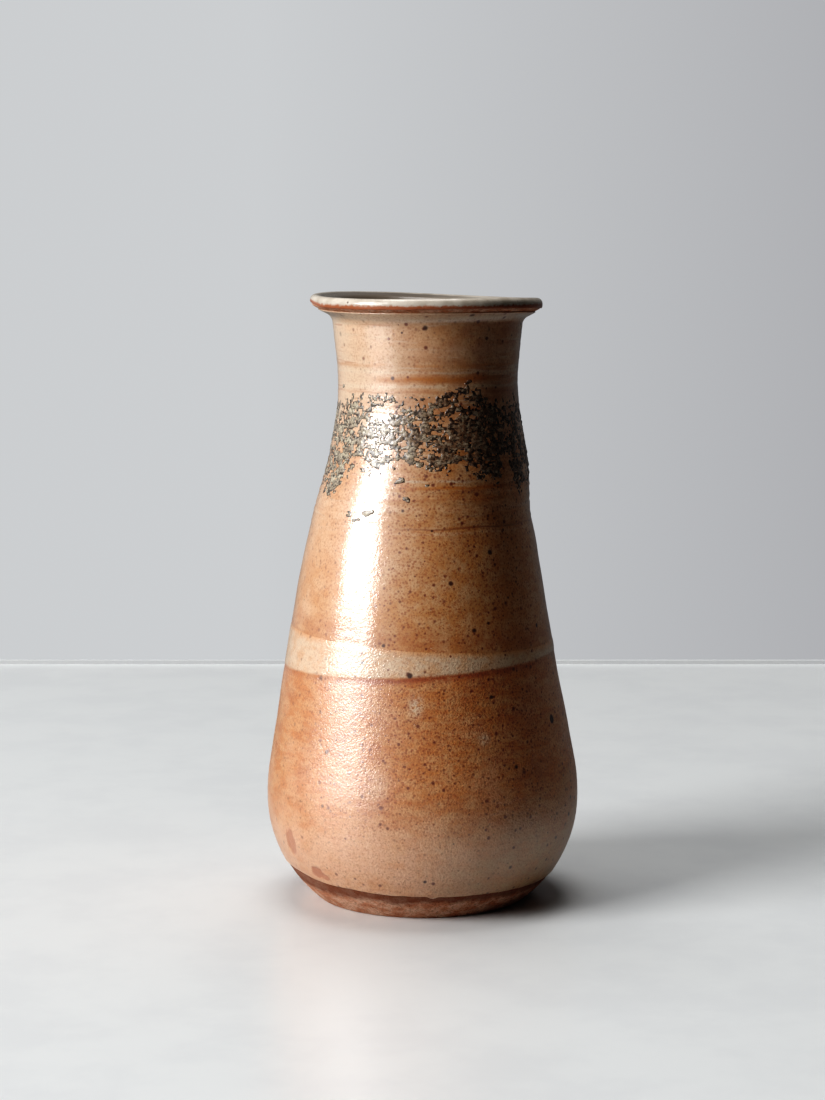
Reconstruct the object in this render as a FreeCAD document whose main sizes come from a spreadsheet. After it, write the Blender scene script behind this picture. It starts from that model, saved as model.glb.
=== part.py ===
import FreeCAD, Part

import math
import os

import Sketcher

# A wheel-thrown stoneware vase: a swelling body that narrows to a waisted neck under a flared flange rim.
# The fired clay is one piece. On it lie the coats that were laid and fired on it: a liner inside and over the
# lip, two dipped coats outside that lap in a band, and a raised crust round the neck.
#
# Frame: millimetres, +Z up, origin on the floor under the middle of the foot. Every piece is turned about Z.
# A section is drawn on the XZ plane, radius along X and height along Z. "grow" is how far a line of the
# section lies outside the finished outer surface, along its normal, and is negative inside the wall.

SIZES = {
    "total_height": 254.0,
    "belly_radius": 66.0,
    "belly_height": 43.5,
    "lower_curve": 56.0,
    "shoulder_radius": 51.9,
    "shoulder_height": 130.0,
    "shoulder_slope": 10.14,
    "waist_radius": 37.3,
    "waist_height": 219.0,
    "neck_curve": 80.0,
    "neck_flare": 6.0,
    "flange_root": 4.5,
    "flange_rise": 27.0,
    "lip_reach": 48.2,
    "lip_rounding": 2.4,
    "rim_dish": 10.0,
    "throat_curve": 6.0,
    "wall": 5.0,
    "floor_top": 8.0,
    "heel_curve": 12.0,
    "foot_edge": 1.5,
    "foot_ring_inside": 36.0,
    "foot_recess": 1.5,
    "glaze": 0.5,
    "crust": 0.7,
    "glaze_line": 12.0,
    "lap_bottom": 101.5,
    "lap_top": 111.0,
    "lap_swell": 2.0,
    "crust_bottom": 179.0,
    "crust_top": 213.0,
    "coat_end_radius": 45.0,
    "liner_end_slope": 20.0,
}

CLAY = "-Sizes.glaze"
OUTSIDE = "0 * Sizes.glaze"
LAPPED = "Sizes.glaze"
CRUSTED = "Sizes.crust"
CLAY_INSIDE = "-Sizes.glaze - Sizes.wall"
LINER_INSIDE = "-2 * Sizes.glaze - Sizes.wall"
GROWTH = {
    CLAY: -SIZES["glaze"],
    OUTSIDE: 0.0,
    LAPPED: SIZES["glaze"],
    CRUSTED: SIZES["crust"],
    CLAY_INSIDE: -SIZES["glaze"] - SIZES["wall"],
    LINER_INSIDE: -2 * SIZES["glaze"] - SIZES["wall"],
}


def make_sheet(doc):
    """Write the driving sizes, one to a row, each with its alias."""
    sheet = doc.addObject("Spreadsheet::Sheet", "Sizes")
    for row, (name, value) in enumerate(SIZES.items(), start=1):
        sheet.set(f"A{row}", name)
        sheet.set(f"B{row}", str(value))
        sheet.setAlias(f"B{row}", name)
    doc.recompute()


def origin_part(body, role):
    """The body's own origin plane or axis that has this role."""
    return next(part for part in body.Origin.OriginFeatures if part.Role == role)


def along(point, direction, length):
    """The point this far along a direction."""
    return (point[0] + direction[0] * length, point[1] + direction[1] * length)


def crossing(normal_a, reach_a, normal_b, reach_b):
    """The point whose reach along each of two normals is the one given."""
    turn = normal_a[0] * normal_b[1] - normal_a[1] * normal_b[0]
    x = (reach_a * normal_b[1] - reach_b * normal_a[1]) / turn
    z = (normal_a[0] * reach_b - normal_b[0] * reach_a) / turn
    return (x, z)


def reach(normal, point):
    """How far a point lies along a normal, from the origin."""
    return normal[0] * point[0] + normal[1] * point[1]


SLOPE = math.radians(SIZES["shoulder_slope"])
FLARE = math.radians(SIZES["neck_flare"])
RISE = math.radians(SIZES["flange_rise"])
DISH = math.radians(SIZES["rim_dish"])
SHOULDER_OUT = (math.cos(SLOPE), math.sin(SLOPE))
NECK_OUT = (math.cos(FLARE), -math.sin(FLARE))
FLANGE_DOWN = (math.sin(RISE), -math.cos(RISE))
RIM_UP = (-math.sin(DISH), math.cos(DISH))
SHOULDER_REACH = reach(SHOULDER_OUT, (SIZES["shoulder_radius"], SIZES["shoulder_height"]))
SHOULDER_REACH_TEXT = (
    "Sizes.shoulder_radius * cos(Sizes.shoulder_slope * 1 deg)"
    " + Sizes.shoulder_height * sin(Sizes.shoulder_slope * 1 deg)"
)
LIP_HEIGHT_TEXT = "Sizes.total_height - Sizes.lip_rounding"
LIP_EDGE_TEXT = "Sizes.lip_reach - Sizes.lip_rounding * (1 - cos(Sizes.liner_end_slope * 1 deg))"


def arc_centres():
    """Centres of the section's arcs, which are the same for every coat."""
    belly = (SIZES["belly_radius"], SIZES["belly_height"])
    waist = (SIZES["waist_radius"], SIZES["waist_height"])
    spread = 1.0 - math.cos(SLOPE)
    belly_curve = (SHOULDER_REACH - reach(SHOULDER_OUT, belly)) / spread
    waist_curve = (reach(SHOULDER_OUT, waist) - SHOULDER_REACH) / spread
    neck = (waist[0] + SIZES["neck_curve"], waist[1])
    lip = (SIZES["lip_reach"] - SIZES["lip_rounding"], SIZES["total_height"] - SIZES["lip_rounding"])
    neck_reach = reach(NECK_OUT, neck) - SIZES["neck_curve"]
    flange_reach = reach(FLANGE_DOWN, lip) + SIZES["lip_rounding"]
    rim_reach = reach(RIM_UP, lip) + SIZES["lip_rounding"]
    root = SIZES["flange_root"]
    throat = SIZES["throat_curve"]
    bore_reach = neck_reach + GROWTH[LINER_INSIDE]
    return {
        "lower": (belly[0] - SIZES["lower_curve"], belly[1]),
        "belly": (belly[0] - belly_curve, belly[1]),
        "waist": (waist[0] + waist_curve, waist[1]),
        "neck": neck,
        "root": crossing(NECK_OUT, neck_reach + root, FLANGE_DOWN, flange_reach + root),
        "lip": lip,
        "throat": crossing(RIM_UP, rim_reach - throat, NECK_OUT, bore_reach + throat),
    }


CENTRES = arc_centres()


def landmarks(grow_text):
    """Where the arcs and straight runs of the section meet, on the line that is grown this far."""
    grow = GROWTH[grow_text]
    belly = (SIZES["belly_radius"] + grow, SIZES["belly_height"])
    waist = (SIZES["waist_radius"] + grow, SIZES["waist_height"])
    belly_curve = belly[0] - CENTRES["belly"][0]
    waist_curve = CENTRES["waist"][0] - waist[0]
    neck_curve = SIZES["neck_curve"] - grow
    root = SIZES["flange_root"] - grow
    lip = SIZES["lip_rounding"] + grow
    return {
        "belly": belly,
        "shoulder_start": along(CENTRES["belly"], SHOULDER_OUT, belly_curve),
        "shoulder_end": along(CENTRES["waist"], SHOULDER_OUT, -waist_curve),
        "waist": waist,
        "neck_start": along(CENTRES["neck"], NECK_OUT, -neck_curve),
        "neck_end": along(CENTRES["root"], NECK_OUT, -root),
        "flange_start": along(CENTRES["root"], FLANGE_DOWN, -root),
        "flange_end": along(CENTRES["lip"], FLANGE_DOWN, lip),
        "rim_start": along(CENTRES["lip"], RIM_UP, lip),
    }


def on_arc(centre_name, radius, height):
    """The point at a height on the outer side of one of the section's arcs."""
    centre = CENTRES[centre_name]
    return (centre[0] + math.sqrt(radius**2 - (height - centre[1]) ** 2), height)


def on_shoulder(grow_text, height):
    """The point at a height on the straight shoulder, grown this far."""
    radius = (SHOULDER_REACH + GROWTH[grow_text] - height * SHOULDER_OUT[1]) / SHOULDER_OUT[0]
    return (radius, height)


def backwards(stroke):
    """The same stroke, drawn from its last point to its first."""
    return (stroke[0], stroke[2], stroke[1])


class Section:
    """A closed outline on a body's XZ plane, whose strokes are tied to each other and to the sizes.

    A stroke is a geometry's number with the numbers of its first and last point.
    """

    def __init__(self, doc, label):
        self.body = doc.addObject("PartDesign::Body", label)
        self.body.Label = label
        self.sketch = self.body.newObject("Sketcher::SketchObject", label + "_section")
        self.sketch.AttachmentSupport = [(origin_part(self.body, "XZ_Plane"), "")]
        self.sketch.MapMode = "FlatFace"

    def line(self, start, end):
        """A straight stroke."""
        ends = [FreeCAD.Vector(point[0], point[1], 0) for point in (start, end)]
        return (self.sketch.addGeometry(Part.LineSegment(*ends)), 1, 2)

    def arc(self, centre, start, end):
        """The shorter arc about a centre from one point to another."""
        first = math.atan2(start[1] - centre[1], start[0] - centre[0])
        last = math.atan2(end[1] - centre[1], end[0] - centre[0])
        radius = math.dist(centre, start)
        circle = Part.Circle(FreeCAD.Vector(centre[0], centre[1], 0), FreeCAD.Vector(0, 0, 1), radius)
        anticlockwise = (last - first) % math.tau < math.pi
        span = (first, last) if anticlockwise else (last, first)
        number = self.sketch.addGeometry(Part.ArcOfCircle(circle, *span))
        return (number, 1, 2) if anticlockwise else (number, 2, 1)

    def smooth(self, *strokes):
        """Join each stroke to the next with no corner."""
        for one, other in zip(strokes, strokes[1:]):
            self.sketch.addConstraint(Sketcher.Constraint("Tangent", one[0], one[2], other[0], other[1]))

    def corner(self, *strokes):
        """Join each stroke to the next at a corner."""
        for one, other in zip(strokes, strokes[1:]):
            self.sketch.addConstraint(Sketcher.Constraint("Coincident", one[0], one[2], other[0], other[1]))

    def meet(self, one, one_point, other, other_point):
        """Join a stroke's point to another's at a corner."""
        self.sketch.addConstraint(Sketcher.Constraint("Coincident", one[0], one_point, other[0], other_point))

    def bind(self, constraint, expression):
        """Add a size to the outline and bind it to the sheet."""
        number = self.sketch.addConstraint(constraint)
        self.sketch.setExpression(f"Constraints[{number}]", expression)

    def place(self, geometry, point, across=None, up=None):
        """Bind a point's distance from the axis, its height, or both."""
        x, z = self.sketch.getPoint(geometry, point)[:2]
        if across is not None:
            self.bind(Sketcher.Constraint("DistanceX", -1, 1, geometry, point, x), across)
        if up is not None:
            self.bind(Sketcher.Constraint("DistanceY", -1, 1, geometry, point, z), up)

    def round_to(self, stroke, expression):
        """Bind an arc's radius."""
        radius = self.sketch.Geometry[stroke[0]].Radius
        self.bind(Sketcher.Constraint("Radius", stroke[0], radius), expression)

    def lean(self, stroke, expression):
        """Bind a straight stroke's angle to the radius axis."""
        line = self.sketch.Geometry[stroke[0]]
        run = line.EndPoint - line.StartPoint
        self.bind(Sketcher.Constraint("Angle", stroke[0], math.atan2(run.y, run.x)), expression)

    def level(self, *strokes):
        """Keep straight strokes level."""
        for stroke in strokes:
            self.sketch.addConstraint(Sketcher.Constraint("Horizontal", stroke[0]))

    def belly(self, grow_text, start, end_height=None):
        """The wall from a start on the lower curve, over the belly, up the straight shoulder."""
        marks = landmarks(grow_text)
        top = marks["shoulder_end"] if end_height is None else on_shoulder(grow_text, end_height)
        lower = self.arc(CENTRES["lower"], start, marks["belly"])
        upper = self.arc(CENTRES["belly"], marks["belly"], marks["shoulder_start"])
        shoulder = self.line(marks["shoulder_start"], top)
        self.smooth(lower, upper, shoulder)
        self.place(lower[0], 3, up="Sizes.belly_height")
        self.place(lower[0], lower[2], "Sizes.belly_radius + " + grow_text, "Sizes.belly_height")
        self.round_to(lower, "Sizes.lower_curve + " + grow_text)
        self.set_shoulder(shoulder, grow_text)
        return [lower, upper, shoulder]

    def set_shoulder(self, shoulder, grow_text):
        """Bind the straight shoulder's slope and its distance from the origin."""
        self.lean(shoulder, "90 deg + Sizes.shoulder_slope * 1 deg")
        distance = SHOULDER_REACH + GROWTH[grow_text]
        self.bind(
            Sketcher.Constraint("Distance", -1, 1, shoulder[0], distance),
            SHOULDER_REACH_TEXT + " + " + grow_text,
        )

    def waist(self, grow_text, shoulder, neck_end):
        """The wall from the straight shoulder in to the waist and up the flaring neck."""
        marks = landmarks(grow_text)
        below = self.arc(CENTRES["waist"], marks["shoulder_end"], marks["waist"])
        above = self.arc(CENTRES["neck"], marks["waist"], marks["neck_start"])
        neck = self.line(marks["neck_start"], neck_end)
        self.smooth(shoulder, below, above, neck)
        self.place(below[0], 3, up="Sizes.waist_height")
        self.place(below[0], below[2], "Sizes.waist_radius + " + grow_text, "Sizes.waist_height")
        self.round_to(above, "Sizes.neck_curve - (" + grow_text + ")")
        self.lean(neck, "90 deg - Sizes.neck_flare * 1 deg")
        return [below, above, neck]

    def flange(self, grow_text, neck, end):
        """The under side of the flange from the neck out towards the lip."""
        marks = landmarks(grow_text)
        root = self.arc(CENTRES["root"], marks["neck_end"], marks["flange_start"])
        under = self.line(marks["flange_start"], end)
        self.smooth(neck, root, under)
        self.round_to(root, "Sizes.flange_root - (" + grow_text + ")")
        self.lean(under, "Sizes.flange_rise * 1 deg")
        return [root, under]

    def lip(self, grow_text, start, rim_end):
        """The rounded lip and the dished top of the rim, in towards the throat."""
        marks = landmarks(grow_text)
        lip = self.arc(CENTRES["lip"], start, marks["rim_start"])
        rim = self.line(marks["rim_start"], rim_end)
        self.smooth(lip, rim)
        self.place(lip[0], 3, "Sizes.lip_reach - Sizes.lip_rounding", LIP_HEIGHT_TEXT)
        self.round_to(lip, "Sizes.lip_rounding + " + grow_text)
        self.lean(rim, "180 deg + Sizes.rim_dish * 1 deg")
        return [lip, rim]

    def turn(self):
        """Turn the section about the vertical axis into a solid."""
        turned = self.body.newObject("PartDesign::Revolution", self.body.Label + "_turned")
        turned.Profile = (self.sketch, [""])
        turned.ReferenceAxis = (self.sketch, ["V_Axis"])
        turned.Angle = 360.0
        self.sketch.Visibility = False
        return self.body


def inside(section, grow_text, floor_text, floor_height):
    """The inner wall, from the axis over the floor and heel up the wall and round the throat.

    The heel and the throat follow the wall's own growth, so that the clay and the liner on it stay parallel.
    Returns the floor's stroke, the throat's stroke and the point where the throat meets the rim.
    """
    coat = GROWTH[CLAY_INSIDE] - GROWTH[grow_text]
    heel_curve = SIZES["heel_curve"] - coat
    lower_curve = SIZES["lower_curve"] + GROWTH[grow_text]
    heel_height = floor_height + heel_curve
    heel_reach = lower_curve - heel_curve
    drop = heel_height - CENTRES["lower"][1]
    heel = (CENTRES["lower"][0] + math.sqrt(heel_reach**2 - drop**2), heel_height)
    outward = ((heel[0] - CENTRES["lower"][0]) / heel_reach, drop / heel_reach)
    heel_top = along(CENTRES["lower"], outward, lower_curve)
    throat_curve = SIZES["throat_curve"] - SIZES["glaze"] + coat
    bore_top = along(CENTRES["throat"], NECK_OUT, -throat_curve)
    throat_top = along(CENTRES["throat"], RIM_UP, throat_curve)

    floor = section.line((0.0, floor_height), (heel[0], floor_height))
    bend = section.arc(heel, (heel[0], floor_height), heel_top)
    wall = section.belly(grow_text, heel_top)
    neck = section.waist(grow_text, wall[-1], bore_top)
    throat = section.arc(CENTRES["throat"], bore_top, throat_top)
    section.smooth(floor, bend, wall[0])
    section.smooth(neck[-1], throat)
    section.level(floor)
    section.place(floor[0], 1, "0 mm", floor_text)
    section.round_to(bend, "Sizes.heel_curve + Sizes.glaze + Sizes.wall + " + grow_text)
    return floor, throat, throat_top


def make_stoneware_body(doc):
    """The fired clay: foot ring and recess, wall, flange rim, throat and floor, all one piece."""
    section = Section(doc, "stoneware_body")
    marks = landmarks(CLAY)
    floor, throat, throat_top = inside(section, CLAY_INSIDE, "Sizes.floor_top", SIZES["floor_top"])
    edge = SIZES["foot_edge"]
    lower_curve = SIZES["lower_curve"] + GROWTH[CLAY]
    drop = edge - CENTRES["lower"][1]
    edge_reach = lower_curve - edge
    edge_centre = (CENTRES["lower"][0] + math.sqrt(edge_reach**2 - drop**2), edge)
    outward = ((edge_centre[0] - CENTRES["lower"][0]) / edge_reach, drop / edge_reach)
    edge_top = along(CENTRES["lower"], outward, lower_curve)
    ring = SIZES["foot_ring_inside"]
    recess = SIZES["foot_recess"]

    axis = section.line((0.0, SIZES["floor_top"]), (0.0, recess))
    underside = section.line((0.0, recess), (ring - recess, recess))
    bevel = section.line((ring - recess, recess), (ring, 0.0))
    rest = section.line((ring, 0.0), (edge_centre[0], 0.0))
    rounding = section.arc(edge_centre, (edge_centre[0], 0.0), edge_top)
    wall = section.belly(CLAY, edge_top)
    neck = section.waist(CLAY, wall[-1], marks["neck_end"])
    flange = section.flange(CLAY, neck[-1], marks["flange_end"])
    lip = section.lip(CLAY, marks["flange_end"], throat_top)
    section.corner(axis, underside, bevel, rest)
    section.smooth(rest, rounding, wall[0])
    section.smooth(flange[-1], lip[0])
    section.smooth(lip[-1], backwards(throat))
    section.meet(axis, 1, floor, floor[1])
    section.level(underside, rest)
    section.place(underside[0], 1, "0 mm", "Sizes.foot_recess")
    section.place(underside[0], 2, across="Sizes.foot_ring_inside - Sizes.foot_recess")
    section.place(rest[0], 1, "Sizes.foot_ring_inside", "0 mm")
    section.round_to(rounding, "Sizes.foot_edge")
    section.round_to(throat, "Sizes.throat_curve - Sizes.glaze")
    return section.turn()


def make_liner_glaze(doc):
    """The pale liner: the floor and inner wall, the top of the rim and the lip down to its bare line."""
    section = Section(doc, "liner_glaze")
    slope = math.radians(SIZES["liner_end_slope"])
    end_out = (math.cos(slope), -math.sin(slope))
    clay_end = along(CENTRES["lip"], end_out, SIZES["lip_rounding"] - SIZES["glaze"])
    skin_end = along(CENTRES["lip"], end_out, SIZES["lip_rounding"])
    under = inside(section, CLAY_INSIDE, "Sizes.floor_top", SIZES["floor_top"])
    over_height = SIZES["floor_top"] + SIZES["glaze"]
    over = inside(section, LINER_INSIDE, "Sizes.floor_top + Sizes.glaze", over_height)
    under_lip = section.lip(CLAY, clay_end, under[2])
    over_lip = section.lip(OUTSIDE, skin_end, over[2])
    axis = section.line((0.0, SIZES["floor_top"]), (0.0, over_height))
    end = section.line(clay_end, skin_end)
    for lip, (_, throat, _) in ((under_lip, under), (over_lip, over)):
        section.smooth(lip[-1], backwards(throat))
    section.round_to(under[1], "Sizes.throat_curve - Sizes.glaze")
    section.round_to(over[1], "Sizes.throat_curve")
    for floor, lip, point in ((under[0], under_lip[0], 1), (over[0], over_lip[0], 2)):
        section.meet(axis, point, floor, floor[1])
        section.meet(end, point, lip, lip[1])
    section.lean(end, "-Sizes.liner_end_slope * 1 deg")
    section.place(end[0], 2, across=LIP_EDGE_TEXT)
    return section.turn()


def make_upper_glaze_coat(doc):
    """The first dipped coat: from the lap up the shoulder and neck and out under the flange."""
    section = Section(doc, "upper_glaze_coat")
    sides = []
    for grow_text in (CLAY, OUTSIDE):
        marks = landmarks(grow_text)
        start = on_shoulder(grow_text, SIZES["lap_bottom"])
        shoulder = section.line(start, marks["shoulder_end"])
        section.set_shoulder(shoulder, grow_text)
        neck = section.waist(grow_text, shoulder, marks["neck_end"])
        out = SIZES["coat_end_radius"] - marks["flange_start"][0]
        end = along(marks["flange_start"], (1.0, math.tan(RISE)), out)
        flange = section.flange(grow_text, neck[-1], end)
        sides.append((shoulder, flange[-1], start, end))
    (shoulder, under, start, end), (skin, skin_under, skin_start, skin_end) = sides
    foot = section.line(start, skin_start)
    cap = section.line(end, skin_end)
    for stroke, point, clay_side, skin_side in ((foot, 1, shoulder, skin), (cap, 2, under, skin_under)):
        for number, side in ((1, clay_side), (2, skin_side)):
            section.meet(stroke, number, side, side[point])
    section.level(foot)
    section.place(foot[0], 1, up="Sizes.lap_bottom")
    section.sketch.addConstraint(Sketcher.Constraint("Vertical", cap[0]))
    section.place(cap[0], 1, across="Sizes.coat_end_radius")
    locate_flange(section, under, CLAY)
    locate_flange(section, skin_under, OUTSIDE)
    return section.turn()


def locate_flange(section, under, grow_text):
    """Bind a flange's under side where it doesn't reach the lip, by its distance from the origin."""
    distance = -reach(FLANGE_DOWN, CENTRES["lip"]) - SIZES["lip_rounding"] - GROWTH[grow_text]
    section.bind(
        Sketcher.Constraint("Distance", -1, 1, under[0], distance),
        "(Sizes.total_height - Sizes.lip_rounding) * cos(Sizes.flange_rise * 1 deg)"
        " - (Sizes.lip_reach - Sizes.lip_rounding) * sin(Sizes.flange_rise * 1 deg)"
        " - Sizes.lip_rounding - (" + grow_text + ")",
    )


def make_lower_glaze_coat(doc):
    """The second dipped coat: from the bare foot up over the belly, lapping over the first coat's edge."""
    section = Section(doc, "lower_glaze_coat")
    bottom = SIZES["lap_bottom"]
    top = SIZES["lap_top"]
    swell = bottom - SIZES["lap_swell"]
    start = on_arc("lower", SIZES["lower_curve"] + GROWTH[CLAY], SIZES["glaze_line"])
    skin_start = on_arc("lower", SIZES["lower_curve"], SIZES["glaze_line"])
    clay_side = section.belly(CLAY, start, bottom)
    skin_side = section.belly(OUTSIDE, skin_start, swell)
    under_lap = section.line(on_shoulder(OUTSIDE, bottom), on_shoulder(OUTSIDE, top))
    over_lap = section.line(on_shoulder(LAPPED, bottom), on_shoulder(LAPPED, top))
    foot = section.line(start, skin_start)
    step = section.line(on_shoulder(CLAY, bottom), on_shoulder(OUTSIDE, bottom))
    rise = section.line(on_shoulder(OUTSIDE, swell), on_shoulder(LAPPED, bottom))
    cap = section.line(on_shoulder(OUTSIDE, top), on_shoulder(LAPPED, top))
    section.corner(clay_side[-1], step, under_lap, cap)
    section.corner(foot, skin_side[0])
    section.corner(skin_side[-1], rise, over_lap)
    section.meet(foot, 1, clay_side[0], clay_side[0][1])
    section.meet(cap, 2, over_lap, 2)
    section.set_shoulder(under_lap, OUTSIDE)
    section.set_shoulder(over_lap, LAPPED)
    section.level(foot, step, cap)
    section.place(foot[0], 1, up="Sizes.glaze_line")
    section.place(step[0], 1, up="Sizes.lap_bottom")
    section.place(rise[0], 1, up="Sizes.lap_bottom - Sizes.lap_swell")
    section.place(rise[0], 2, up="Sizes.lap_bottom")
    section.place(cap[0], 1, up="Sizes.lap_top")
    return section.turn()


def make_oxide_crust_band(doc):
    """The raised crust round the neck, laid over the first coat from the shoulder towards the waist."""
    section = Section(doc, "oxide_crust_band")
    sides = []
    for grow_text in (OUTSIDE, CRUSTED):
        marks = landmarks(grow_text)
        start = on_shoulder(grow_text, SIZES["crust_bottom"])
        shoulder = section.line(start, marks["shoulder_end"])
        curve = CENTRES["waist"][0] - marks["waist"][0]
        drop = SIZES["crust_top"] - CENTRES["waist"][1]
        end = (CENTRES["waist"][0] - math.sqrt(curve**2 - drop**2), SIZES["crust_top"])
        face = section.arc(CENTRES["waist"], marks["shoulder_end"], end)
        guide = section.arc(CENTRES["waist"], end, marks["waist"])
        section.sketch.toggleConstruction(guide[0])
        section.set_shoulder(shoulder, grow_text)
        section.smooth(shoulder, face)
        section.corner(face, guide)
        section.meet(face, 3, guide, 3)
        section.place(face[0], 3, up="Sizes.waist_height")
        section.place(guide[0], guide[2], "Sizes.waist_radius + " + grow_text, "Sizes.waist_height")
        sides.append((shoulder, face, start, end))
    (shoulder, face, start, end), (crust_shoulder, crust_face, crust_start, crust_end) = sides
    foot = section.line(start, crust_start)
    cap = section.line(end, crust_end)
    section.meet(foot, 1, shoulder, 1)
    section.meet(foot, 2, crust_shoulder, 1)
    section.meet(cap, 1, face, face[2])
    section.meet(cap, 2, crust_face, crust_face[2])
    section.level(foot, cap)
    section.place(foot[0], 1, up="Sizes.crust_bottom")
    section.place(cap[0], 1, up="Sizes.crust_top")
    return section.turn()


def check(doc, pieces):
    """Stop if any object failed, any section is loose or any piece isn't one valid solid."""
    for item in doc.Objects:
        if "Invalid" in item.State or "Error" in item.State:
            raise RuntimeError(f"{item.Name} failed: {item.State}")
        if item.isDerivedFrom("Sketcher::SketchObject") and not item.FullyConstrained:
            raise RuntimeError(f"{item.Name} isn't fully constrained")
    for piece in pieces:
        if piece.Shape.isNull() or not piece.Shape.isValid() or len(piece.Shape.Solids) != 1:
            raise RuntimeError(f"{piece.Label} isn't one valid solid")


def main():
    """Make the document, check every object and write each piece."""
    doc = FreeCAD.newDocument("Vase")
    make_sheet(doc)
    makers = (
        make_stoneware_body,
        make_liner_glaze,
        make_upper_glaze_coat,
        make_lower_glaze_coat,
        make_oxide_crust_band,
    )
    pieces = [make(doc) for make in makers]
    doc.recompute()
    check(doc, pieces)
    os.makedirs("parts", exist_ok=True)
    for piece in pieces:
        piece.Shape.exportStep(f"parts/{piece.Label}.step")
        box = piece.Shape.optimalBoundingBox()
        print(f"{piece.Label}: {piece.Shape.Volume:.0f} mm3, radius {box.XMax:.2f}, top at {box.ZMax:.2f}")


main()
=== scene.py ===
"""A wheel-thrown stoneware vase, dipped in two glazes, with a crawled dark crust round its neck.

The pot is one fired clay body. Four fired layers lie on it: the liner glaze inside and over the lip, the upper coat
from under the lip to the pale band, the lower coat from the bare foot over the belly and up to the top of that band,
and the crust. Every piece follows one turned outline, so the layers nest as they do on the real pot.
"""

import logging
import math
from dataclasses import dataclass, field
from enum import Enum
from typing import Optional, Sequence, Union

import bpy
import numpy as np
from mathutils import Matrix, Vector, noise


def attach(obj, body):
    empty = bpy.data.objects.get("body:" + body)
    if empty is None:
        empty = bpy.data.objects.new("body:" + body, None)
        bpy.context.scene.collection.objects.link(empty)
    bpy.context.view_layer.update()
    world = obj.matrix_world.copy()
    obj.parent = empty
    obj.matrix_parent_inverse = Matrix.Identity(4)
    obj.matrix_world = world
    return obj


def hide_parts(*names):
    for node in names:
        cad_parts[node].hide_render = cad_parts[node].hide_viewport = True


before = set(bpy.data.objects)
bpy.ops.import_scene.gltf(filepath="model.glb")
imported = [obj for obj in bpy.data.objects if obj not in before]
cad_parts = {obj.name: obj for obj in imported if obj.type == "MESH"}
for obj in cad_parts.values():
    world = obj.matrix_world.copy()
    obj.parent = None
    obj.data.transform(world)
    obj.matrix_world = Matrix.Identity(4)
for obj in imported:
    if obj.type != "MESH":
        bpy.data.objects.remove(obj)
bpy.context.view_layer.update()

MM = 0.001
BODY = "root"
log = logging.getLogger("vase")
Number = Union[float, "Wire"]
Colour = tuple[float, float, float, float]


# The turned outline and the hand that threw it


def smooth(value: np.ndarray, low: float, high: float) -> np.ndarray:
    """Return a soft rise from 0 at low to 1 at high."""
    t = np.clip((value - low) / (high - low), 0.0, 1.0)
    return t * t * (3.0 - 2.0 * t)


def ridge(value: np.ndarray, middle: float, inner: float, outer: float) -> np.ndarray:
    """Return 1 within inner of the middle, falling softly to 0 at outer."""
    return 1.0 - smooth(np.abs(value - middle), inner, outer)


def lumps(spots: np.ndarray) -> np.ndarray:
    """Return soft lumps, from -1 to 1, at rows of points."""
    return np.fromiter((noise.noise(Vector(s)) for s in spots), float, len(spots))


def ragged(angle: np.ndarray, around: float, up: float) -> np.ndarray:
    """Return how a poured edge wanders, by the angle round the pot in radians."""
    spots = ((math.sin(a) * around, math.cos(a) * around, up) for a in angle)
    return np.fromiter((noise.fractal(Vector(s), 1.0, 2.0, 3) for s in spots), float, len(angle))


def eased(stations: Sequence[tuple[float, float]], at: np.ndarray) -> np.ndarray:
    """Read a table of stations, easing from each one to the next.

    Args:
        stations: Pairs of place and value, in rising order of place.
        at: The places to read.

    Returns:
        The value at each place.
    """
    places, values = np.array(stations, float).T
    k = np.clip(np.searchsorted(places, at) - 1, 0, len(places) - 2)
    t = smooth((at - places[k]) / (places[k + 1] - places[k]), 0.0, 1.0)
    return values[k] + (values[k + 1] - values[k]) * t


@dataclass(frozen=True)
class Arc:
    """One arc of the turned outline, in millimetres, given by the way its surface faces."""

    name: str
    centre_radius: float
    centre_height: float
    bend: float  # its radius, negative where the wall curves in
    start: float  # degrees: 0 faces out, 90 up, 180 towards the axis
    end: float

    def points(self, grain: float) -> np.ndarray:
        """Walk along the arc.

        Args:
            grain: The longest step, in millimetres.

        Returns:
            Rows of radius, height and the two parts of the direction the surface faces.
        """
        length = abs(math.radians(self.end - self.start) * self.bend)
        turn = np.radians(np.linspace(self.start, self.end, max(3, math.ceil(length / grain) + 1)))
        out, up = np.cos(turn), np.sin(turn)
        return np.column_stack(
            [self.centre_radius + self.bend * out, self.centre_height + self.bend * up, out, up]
        )


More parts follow.
